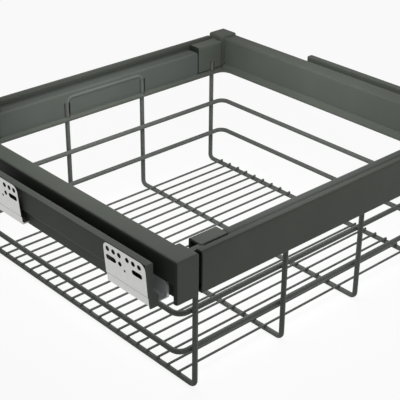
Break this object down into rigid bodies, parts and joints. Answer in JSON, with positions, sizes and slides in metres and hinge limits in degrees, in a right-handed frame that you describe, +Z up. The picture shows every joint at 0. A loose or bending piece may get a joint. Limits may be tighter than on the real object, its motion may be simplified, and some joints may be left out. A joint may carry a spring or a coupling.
{
  "type": "pull-out wire basket",
  "caption": "Pull-out wardrobe basket: a frame of coated rails with a hanging wire basket, run forward on telescopic slides in cover profiles with screw brackets for the cabinet walls.",
  "frame": {"origin": "centre of the footprint, on the surface that the basket's bottom wires stand on", "axes": "+Z up, +X to the right of someone facing the basket, -Y to the front, the way it pulls out"},
  "size_m": [0.564, 0.48, 0.2005],
  "materials": {
    "rail_coating": "matt powder coat",
    "liner_coating": "matt powder coat",
    "wire_coating": "satin powder coat",
    "corner_plastic": "fine-grained matt",
    "galvanised_steel": "galvanised",
    "zinc_slide_steel": "bright zinc",
    "carrier_plastic": "matt",
    "ball_cage_steel": "bright"
  },
  "bodies": {
    "basket": {"back_rail": "rail_coating", "back_rail_liner": "liner_coating", "corner_connector_back_left": "corner_plastic", "corner_connector_back_right": "corner_plastic", "corner_connector_front_left": "corner_plastic", "corner_connector_front_right": "corner_plastic", "end_cap_back_left": "corner_plastic", "end_cap_back_right": "corner_plastic", "end_cap_front_left": "corner_plastic", "end_cap_front_right": "corner_plastic", "floor_wire_01": "wire_coating", "floor_wire_02": "wire_coating", "floor_wire_03": "wire_coating", "floor_wire_04": "wire_coating", "floor_wire_05": "wire_coating", "floor_wire_06": "wire_coating", "floor_wire_07": "wire_coating", "floor_wire_08": "wire_coating", "floor_wire_09": "wire_coating", "floor_wire_10": "wire_coating", "floor_wire_11": "wire_coating", "floor_wire_12": "wire_coating", "floor_wire_13": "wire_coating", "floor_wire_14": "wire_coating", "floor_wire_15": "wire_coating", "floor_wire_16": "wire_coating", "floor_wire_17": "wire_coating", "floor_wire_18": "wire_coating", "floor_wire_19": "wire_coating", "floor_wire_20": "wire_coating", "floor_wire_21": "wire_coating", "front_rail": "rail_coating", "front_rail_liner": "liner_coating", "hanger_loop": "wire_coating", "lower_ring": "wire_coating", "outer_wire_left": "wire_coating", "outer_wire_right": "wire_coating", "runner_carrier_left": "carrier_plastic", "runner_carrier_right": "carrier_plastic", "runner_left": "zinc_slide_steel", "runner_right": "zinc_slide_steel", "side_rail_left": "rail_coating", "side_rail_right": "rail_coating", "upper_ring": "wire_coating"},
    "cabinet_sides": {"cover_end_left": "corner_plastic", "cover_end_right": "corner_plastic", "cover_left": "rail_coating", "cover_right": "rail_coating", "slide_fixed_left": "zinc_slide_steel", "slide_fixed_right": "zinc_slide_steel", "wall_bracket_back_left": "galvanised_steel", "wall_bracket_back_right": "galvanised_steel", "wall_bracket_front_left": "galvanised_steel", "wall_bracket_front_right": "galvanised_steel"},
    "inner_ball_cage_left": {"inner_ball_cage_left": "ball_cage_steel"},
    "inner_ball_cage_right": {"inner_ball_cage_right": "ball_cage_steel"},
    "outer_ball_cage_left": {"outer_ball_cage_left": "ball_cage_steel"},
    "outer_ball_cage_right": {"outer_ball_cage_right": "ball_cage_steel"},
    "slide_middle_left": {"slide_middle_left": "zinc_slide_steel"},
    "slide_middle_right": {"slide_middle_right": "zinc_slide_steel"}
  },
  "joints": [
    {"name": "basket_slide", "type": "slide", "parent": "cabinet_sides", "child": "basket", "axis": [0, -1, 0], "range_m": [0, 0.38]},
    {"name": "slide_middle_left_slide", "type": "slide", "parent": "cabinet_sides", "child": "slide_middle_left", "axis": [0, -1, 0], "range_m": [0, 0.19]},
    {"name": "outer_ball_cage_left_slide", "type": "slide", "parent": "cabinet_sides", "child": "outer_ball_cage_left", "axis": [0, -1, 0], "range_m": [0, 0.285]},
    {"name": "inner_ball_cage_left_slide", "type": "slide", "parent": "cabinet_sides", "child": "inner_ball_cage_left", "axis": [0, -1, 0], "range_m": [0, 0.095]},
    {"name": "slide_middle_right_slide", "type": "slide", "parent": "cabinet_sides", "child": "slide_middle_right", "axis": [0, -1, 0], "range_m": [0, 0.19]},
    {"name": "outer_ball_cage_right_slide", "type": "slide", "parent": "cabinet_sides", "child": "outer_ball_cage_right", "axis": [0, -1, 0], "range_m": [0, 0.285]},
    {"name": "inner_ball_cage_right_slide", "type": "slide", "parent": "cabinet_sides", "child": "inner_ball_cage_right", "axis": [0, -1, 0], "range_m": [0, 0.095]}
  ],
  "couplings": [
    {"joint": "slide_middle_left_slide", "follows": "basket_slide", "ratio": 0.5},
    {"joint": "outer_ball_cage_left_slide", "follows": "basket_slide", "ratio": 0.75},
    {"joint": "inner_ball_cage_left_slide", "follows": "basket_slide", "ratio": 0.25},
    {"joint": "slide_middle_right_slide", "follows": "basket_slide", "ratio": 0.5},
    {"joint": "outer_ball_cage_right_slide", "follows": "basket_slide", "ratio": 0.75},
    {"joint": "inner_ball_cage_right_slide", "follows": "basket_slide", "ratio": 0.25}
  ]
}
